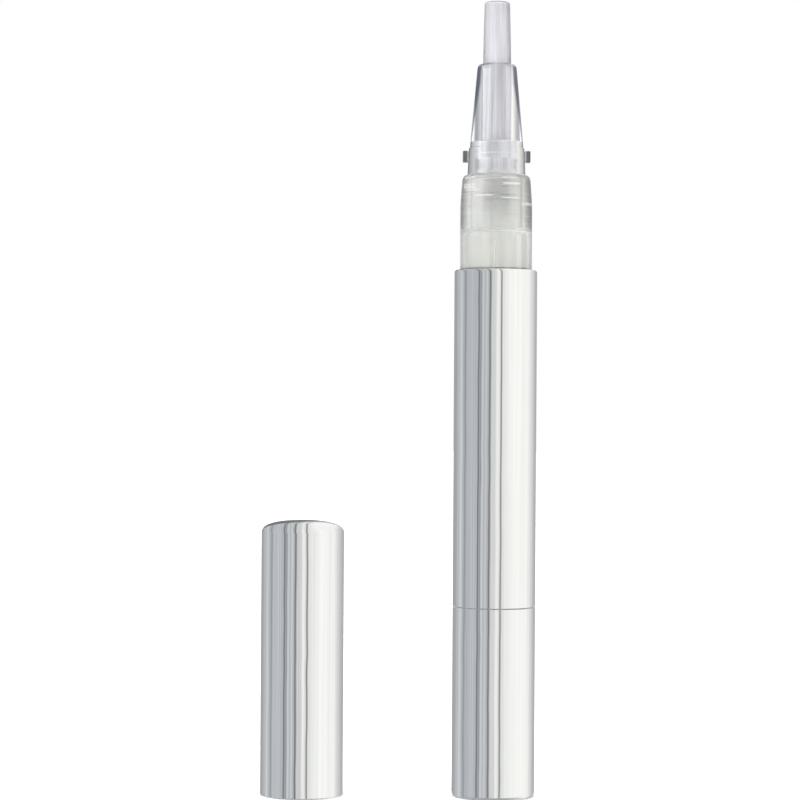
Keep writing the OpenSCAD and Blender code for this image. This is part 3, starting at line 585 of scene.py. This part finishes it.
def milkyFinish(m):
    # painted shade where the wall turns away from the eye and over the plug's core, painted highlights on
    # the plug's rings and the moulded ribs, and a painted shadow line where it leaves the sleeve's rim
    material, tree, shader = newMaterial("milkyPlastic")
    skin = useGroup(tree, grain, Size=m["grainSize"])
    place = addNode(tree, "TexCoord").outputs
    height = axisOf(tree, place["Object"], "Z")
    edged, toned, line, groove = ringMarks(tree, place["Object"], m)
    rib = addNode(tree, "Attribute", {"attribute_name": "rib"}).outputs["Fac"]
    facing = addNode(tree, "LayerWeight", Blend=0.5).outputs["Facing"]
    # darker over the plug, and a painted shade over its core where the eye looks straight through
    core = stretch(tree, facing, m["coreShadeSpan"], smooth=True)
    tone = mixColour(tree, toned, toneBetween(tree, skin["Cloud"], m["dark"], m["light"]),
                     mixColour(tree, core, m["plugTone"], m["coreShade"]))
    # painted edge shade where the wall turns away from the eye, weaker below the plug
    edge = calc(tree, "MULTIPLY", stretch(tree, facing, m["edgeSpan"], smooth=True),
                stretch(tree, edged, to=(m["lowEdge"], 1.0)))
    tone = mixColour(tree, edge, tone, m["edge"])
    # shade at the plug's lower end, in the grooves and on the side away from the light
    fromEnd = calc(tree, "ABSOLUTE", calc(tree, "SUBTRACT", height, m["endZ"]))
    nearEnd = stretch(tree, fromEnd, (m["endHalf"], 0.0), smooth=True)
    away = stretch(tree, axisOf(tree, place["Normal"], "X"), m["awaySpan"], smooth=True)
    away = calc(tree, "MULTIPLY", away, edged)
    ended, ringed, averted = (stretch(tree, share, to=(1.0, m[name])) for share, name in (
        (nearEnd, "endTone"), (groove, "ringDark"), (away, "awayTone")))
    shade = calc(tree, "MULTIPLY", calc(tree, "MULTIPLY", ended, ringed), averted)
    tone = mixColour(tree, 1.0, tone, shade, "MULTIPLY")
    # painted highlight on the ring lines and the ribs
    tone = mixColour(tree, calc(tree, "MAXIMUM", line, rib), tone, m["raised"])
    # painted shadow where the neck leaves the sleeve's rim
    tint = mixColour(tree, stretch(tree, height, m["gapSpan"]), m["gap"], tone)
    # glow on the lines, on the ribs and towards the light
    toKey = vectorCalc(tree, "DOT_PRODUCT", place["Normal"], m["key"], output="Value")
    lit = stretch(tree, toKey, m["keySpan"], (0.0, m["keyLit"]), smooth=True)
    for share, name in ((line, "ringLit"), (rib, "ribLit")):
        lit = calc(tree, "MULTIPLY_ADD", share, m[name], lit)
    rough = roughBetween(tree, skin["Grain"], m["rough"])
    rough = calc(tree, "MULTIPLY_ADD", nearEnd, m["endRough"], rough)
    feed(tree, shader, Base_Color=tint, Roughness=rough, Emission_Color=lit, Emission_Strength=1.0,
         Transmission_Weight=m["through"], IOR=m["bend"])
    return material


finish = {
    "silver": silverFinish(silver),
    "core": plasticFinish("whiteCore", (0.80, 0.80, 0.81), (0.88, 0.88, 0.88), 0.42),
    "drive": plasticFinish("driveAcetal", (0.66, 0.68, 0.72), (0.74, 0.76, 0.79), 0.35),
    "piston": plasticFinish("pistonPlastic", (0.84, 0.84, 0.78), (0.90, 0.90, 0.86), 0.3,
                            Subsurface_Weight=0.1),
    "rubber": plasticFinish("sealRubber", (0.62, 0.62, 0.52), (0.70, 0.70, 0.60), 0.5),
    "milky": milkyFinish(milk),
    "clear": clearFinish(glass),
    "lug": lugFinish(lugs),
    "bristle": bristleFinish(glow),
    "steel": steelFinish(steel),
}
wears = {
    "silver": ["knob_sleeve", "front_sleeve", "cap_shell"],
    "core": ["knob_core", "housing", "cap_liner"],
    "drive": ["drive_tube", "click_ring", "ratchet_wheel", "guide_nut", "screw_rod"],
    "steel": ["ratchet_spring"], "piston": ["piston"], "rubber": ["nozzle_seal"],
    "milky": ["tank", "feed_tube"], "clear": ["nozzle"], "bristle": ["brush", "brush_clamp"],
}
for kind, names in wears.items():
    for name in names:
        for slot in nodes[name].material_slots:
            slot.material = finish[kind]
print("finishes made:", len(finish))


# Bristles, in millimetres as every shape from here on

bundle = {
    "strands": 1500, "strandR": 0.052, "rings": 9, "radius": 2.34, "seatZ": 107.45, "sunk": 0.3,
    "tipZ": 130.6, "tipSlope": 0.3, "tipPower": 6, "tipJitter": 0.06,
    "tipRadius": 2.12, "drawZ": 119, "drawLength": 11.4, "drawPower": 1.4,   # the bundle narrows to its tip
    "sway": 0.022, "swayTurns": (5, 4), "thin": 0.35, "thinPower": 10,
    "rootZ": 105.5, "rootR": 3.37, "rootBore": 0.5, "rootRound": 0.2, "rootSides": 96,
}


def makeBristles(b):
    # strand n starts at radius sqrt((n + 1/2) / N) R and the golden angle times n, and its axis is
    # drawn in towards the tip with a slow random sway; each ring of its tube is a square round it
    n = np.arange(b["strands"])
    share = np.sqrt((n + 0.5) / b["strands"])
    golden = n * math.pi * (3 - math.sqrt(5))
    widest, start = b["radius"] - b["strandR"], b["seatZ"] - b["sunk"]
    t = np.linspace(0, 1, b["rings"])[None, :]
    tip = b["tipZ"] - b["tipSlope"] * share ** b["tipPower"] - rng.uniform(0, b["tipJitter"], n.size)
    z = start + (tip - start)[:, None] * t
    narrowed = np.clip((z - b["drawZ"]) / b["drawLength"], 0, 1) ** b["drawPower"]
    draw = 1 - (1 - b["tipRadius"] / b["radius"]) * narrowed
    phase, sway = rng.uniform(0, 2 * np.pi, (2, n.size, 1)), rng.normal(0, b["sway"], (2, n.size, 1))
    x, y = ((share * widest * wave)[:, None] * draw + sway[k] * np.sin(b["swayTurns"][k] * t + phase[k])
            for k, wave in enumerate((np.cos(golden), np.sin(golden))))
    hold = np.minimum(1, widest * draw / np.maximum(np.hypot(x, y), 1e-6))
    thick = (b["strandR"] * (1 - b["thin"] * t ** b["thinPower"]))[..., None]
    corner = fullTurn(4) + np.pi / 4
    px, py = (x * hold)[..., None] + thick * np.cos(corner), (y * hold)[..., None] + thick * np.sin(corner)
    points = np.stack([px, py, np.broadcast_to(z[..., None], px.shape)], axis=-1).reshape(-1, 3)
    ends = np.array([[3, 2, 1, 0], (b["rings"] - 1) * 4 + np.arange(4)])
    strand = np.concatenate([gridFaces(b["rings"], 4, False), ends])
    return points, (strand[None] + (n * b["rings"] * 4)[:, None, None]).reshape(-1, 4)


def rootProfile(b):
    low, high = b["rootZ"], b["seatZ"]
    corners = [[b["rootBore"], low], [b["rootR"], low], [b["rootR"], high], [b["rootBore"], high]]
    return softProfile(corners, b["rootRound"])


points, faces = makeBristles(bundle)
bristles = meshPiece("bristles", points * mm, faces, finish["bristle"], "barrel")
root = turnedPiece("bristleRoot", rootProfile(bundle), bundle["rootSides"], finish["bristle"], "barrel")
for piece in (bristles, root):
    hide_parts("brush")
print("bristles:", len(faces), "faces")


# Clear nozzle

nozzle = {
    "top": 120.2, "round": 0.12, "sides": 192, "boreR": 2.396, "chamberR": 3.4, "rootTop": 107.5,
    # the plug and its rings, whose rise and crest are shares of the pitch
    "plugZ": 93.2, "plugLength": 8.8, "plugLead": 0.8, "plugLand": 0.7, "plugR": 4.28, "grooveR": 3.95,
    "rings": 6, "ringRise": 0.3, "ringCrest": 0.6, "ringStep": 0.02, "collar": 0.67,
    "neckTop": 102.0, "seat": 0.03, "footR": 4.76, "footDraft": 0.2, "footTop": 106.4,
    "coneR": 4.352, "coneRise": (0.13, 0.5), "tipR": 3.264,
    # the rim's corners: how far in from the tip's radius or out from the bore, and how far down
    "tipRim": [(0.0, 0.95), (0.09, 0.35), (0.4, 0.0)], "boreRim": [(0.2, 0.0), (0.0, 0.4)],
    "lugSpan": 11.15, "lugSize": 1.9, "lugZ": 105.05, "lugSunk": 0.15, "lugPower": 0.22,
}


def nozzleProfile(n):
    # up the ringed plug, the foot and the cone, and down the bore and the chamber
    pitch = (n["plugLength"] - n["plugLand"] - n["plugLead"]) / n["rings"]
    z = n["plugZ"] + n["plugLead"] + np.arange(n["rings"]) * pitch
    rise, crest = z + n["ringRise"] * pitch, z + n["ringCrest"] * pitch
    groove, ring = np.full(z.size, n["grooveR"]), np.full(z.size, n["plugR"])
    rings = np.array([[groove, z], [ring, rise], [ring, crest], [groove, crest + n["ringStep"]]])
    collar, seat = n["neckTop"] - n["collar"], n["neckTop"] + n["seat"]
    return softProfile([
        [n["chamberR"], n["plugZ"]], [n["grooveR"], n["plugZ"]],
        *rings.transpose(2, 0, 1).reshape(-1, 2).tolist(),
        [n["grooveR"], collar], [n["plugR"], collar], [n["plugR"], seat], [n["footR"], seat],
        [n["footR"] - n["footDraft"], n["footTop"]],
        *([n["coneR"], n["footTop"] + up] for up in n["coneRise"]),
        *([n["tipR"] - inward, n["top"] - down] for inward, down in n["tipRim"]),
        *([n["boreR"] + outward, n["top"] - down] for outward, down in n["boreRim"]),
        [n["boreR"], n["rootTop"]], [n["chamberR"], n["rootTop"]]], n["round"])


def roundedBox(low, high, power, cols=24, rows=13):
    # superellipsoid: each axis is a signed power of the sphere's cosines and sines
    u, v = fullTurn(cols)[None, :], np.linspace(-np.pi / 2, np.pi / 2, rows)[:, None]
    waves = np.cos(u), np.sin(u), np.cos(v), np.sin(v)
    cosU, sinU, cosV, sinV = (np.sign(w) * np.abs(w) ** power for w in waves)
    mid, half = (np.array(low) + np.array(high)) / 2, (np.array(high) - np.array(low)) / 2
    return poleGrid(np.stack([cosV * cosU, cosV * sinU, sinV + 0 * u], axis=-1) * half + mid)


clear = turnedPiece("clearNozzle", nozzleProfile(nozzle), nozzle["sides"], finish["clear"], "barrel")
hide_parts("nozzle")
half = nozzle["lugSize"] / 2
for side in (-1, 1):
    inner, outer = side * (nozzle["footR"] - nozzle["lugSunk"]), side * nozzle["lugSpan"] / 2
    points, faces = roundedBox([min(inner, outer), -half, nozzle["lugZ"] - half],
                               [max(inner, outer), half, nozzle["lugZ"] + half], nozzle["lugPower"])
    lug = meshPiece("nozzleLug" + ("Left" if side < 0 else "Right"), points * mm, faces, finish["lug"],
                    "barrel")
    lug.visible_transmission = False
    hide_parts("nozzle")
print("nozzle made")


# Milky tank and neck

neck = {
    "tankZ": 48.93, "shoulderZ": 86.02, "boreR": 5.1, "neckR": 5.9, "ringR": 6.47, "ringT": 1.6,
    "top": 102.0, "topR": 5.54, "round": 0.748, "roundSteps": 9, "draftZ": 96.38, "draftPower": 1.3,
    "sealR": 4.66, "sealDepth": 0.7, "plugHoleR": 4.31, "plugFloor": 93.17, "plugEase": 0.8, "boreLip": 0.4,
    # rows up the wall, close together where the ribs are
    "ribRows": 92.8, "ribStep": 0.1, "plainRows": 93, "plainStep": 0.25,
    # angle in degrees, width and height of each rib above the sleeve
    "ribs": [(-52.5, 1.0, 5.8), (67.5, 1.0, 5.8), (187.5, 1.0, 5.8), (-94.0, 0.16, 4.6),
             (146.0, 0.16, 4.6)],
    "ribH": 0.05, "ribSoft": 0.35, "sleeveTop": 86.4,
    "soft": 0.08, "plugSoft": 0.28, "softSteps": 4, "sides": 360,
}


def neckRelief(n, a, z):
    # a rib is where the distance to an upright line on the wall is under half its width
    relief = np.zeros(np.broadcast(a, z).shape)
    for angle, width, height in n["ribs"]:
        along = n["neckR"] * np.abs((a - math.radians(angle) + np.pi) % (2 * np.pi) - np.pi)
        over = np.maximum(0, z - (n["sleeveTop"] + height - width / 2))
        far = np.hypot(along, over)
        relief = np.maximum(relief, np.clip((width / 2 - far) / (n["ribSoft"] * width) + 0.5, 0, 1))
    return relief


def tankPoints(n):
    # up the outside with its three rings, over the neck's rounding and down the bore; on the neck's
    # wall r = neck radius less the draft, times 1 + rib height * relief / r
    top, lastRing = n["top"], n["shoulderZ"] - n["ringT"]
    ring = (n["neckR"], 0), (n["ringR"], 0), (n["ringR"], n["ringT"]), (n["neckR"], n["ringT"])
    corners = [[r, z + up] for z in (n["tankZ"], (n["tankZ"] + lastRing) / 2, lastRing) for r, up in ring]
    corners[0][0] = n["boreR"]
    lower = softProfile(corners, n["soft"], n["softSteps"])
    wallZ = np.concatenate([np.arange(n["shoulderZ"] + n["ribStep"], n["ribRows"], n["ribStep"]),
                            np.arange(n["plainRows"], top - n["round"], n["plainStep"])])
    drafted = np.clip((wallZ - n["draftZ"]) / (top - n["draftZ"]), 0, 1) ** n["draftPower"]
    wallR = n["neckR"] - (n["neckR"] - n["topR"]) * drafted
    turn, r = np.linspace(0, np.pi / 2, n["roundSteps"]), n["round"]
    rounding = np.stack([n["topR"] - r + r * np.cos(turn), top - r + r * np.sin(turn)], 1)
    inner = softProfile([
        [n["sealR"], top], [n["sealR"], top - n["sealDepth"]], [n["plugHoleR"], top - n["sealDepth"]],
        [n["plugHoleR"], n["plugFloor"]], [n["boreR"], n["plugFloor"] - n["plugEase"]],
        [n["boreR"], n["tankZ"] + n["boreLip"]]],
        [n["soft"]] * 3 + [n["plugSoft"]] * 2 + [n["soft"]], n["softSteps"])
    profile = np.concatenate([lower, np.stack([wallR, wallZ], 1), rounding, inner])
    points = turnedPoints(profile, n["sides"])
    wall = slice(len(lower), len(lower) + len(wallZ))
    relief = np.zeros(points.shape[:2])
    relief[wall] = neckRelief(n, fullTurn(n["sides"])[None, :], wallZ[:, None])
    points[wall, :, :2] *= 1 + n["ribH"] * relief[wall, :, None] / wallR[:, None, None]
    return points, relief


points, relief = tankPoints(neck)
tank = meshPiece("milkyTank", points.reshape(-1, 3) * mm, gridFaces(points.shape[0], neck["sides"], True),
                 finish["milky"], "barrel")
ribs = tank.data.attributes.new("rib", "FLOAT", "POINT")
ribs.data.foreach_set("value", relief.ravel().astype(np.float32))
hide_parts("tank")
print("tank made:", points.shape[0] * neck["sides"], "faces")


# Cap's shell

cap = {
    "x": -31.5, "outerR": 6.8, "skin": 0.3, "mouth": 0.27, "mouthSteps": 13, "mouthHold": 0.1,
    "wallTop": 43.0, "wallHold": 0.2, "rise": 2.1, "power": 2.5, "innerSteps": 40, "outerSteps": 120,
    "sides": 192,
}


def crownCurve(radius, base, rise, power, steps):
    # a quarter of a superellipse, from the wall to the axis: r = R cos(a)^(2/p), z = h sin(a)^(2/p)
    a = np.linspace(0, np.pi / 2, steps)
    r = radius * np.clip(np.cos(a), 0, 1) ** (2 / power)
    return np.stack([r, base + rise * np.sin(a) ** (2 / power)], 1)


def capPoints(c):
    # from the crown's inner pole down the inside, round the mouth and up to its outer pole
    innerR, outerR, mouth = c["outerR"] - c["skin"], c["outerR"], c["mouth"]
    held, wallEnd = mouth + c["mouthHold"], c["wallTop"] - c["wallHold"]
    turn = np.linspace(-np.pi / 2, 0, c["mouthSteps"])
    inside = crownCurve(innerR, c["wallTop"], c["rise"] - c["skin"], c["power"], c["innerSteps"])[::-1]
    outside = crownCurve(outerR, c["wallTop"], c["rise"], c["power"], c["outerSteps"])
    profile = np.concatenate([
        inside, [[innerR, wallEnd], [innerR, held], [innerR, mouth]],
        np.stack([outerR + mouth * (np.cos(turn) - 1), mouth * (1 + np.sin(turn))], 1),
        [[outerR, held], [outerR, wallEnd]], outside])
    return turnedPoints(profile, c["sides"])


points, faces = poleGrid(capPoints(cap))
shell = meshPiece("capShell", (points + [cap["x"], 0, 0]) * mm, faces, finish["silver"], "cap")
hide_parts("cap_shell")
print("cap shell made:", len(faces), "faces")

# the cap and the pen aren't mirrored in each other
for piece in bpy.context.scene.objects:
    piece.visible_glossy = False
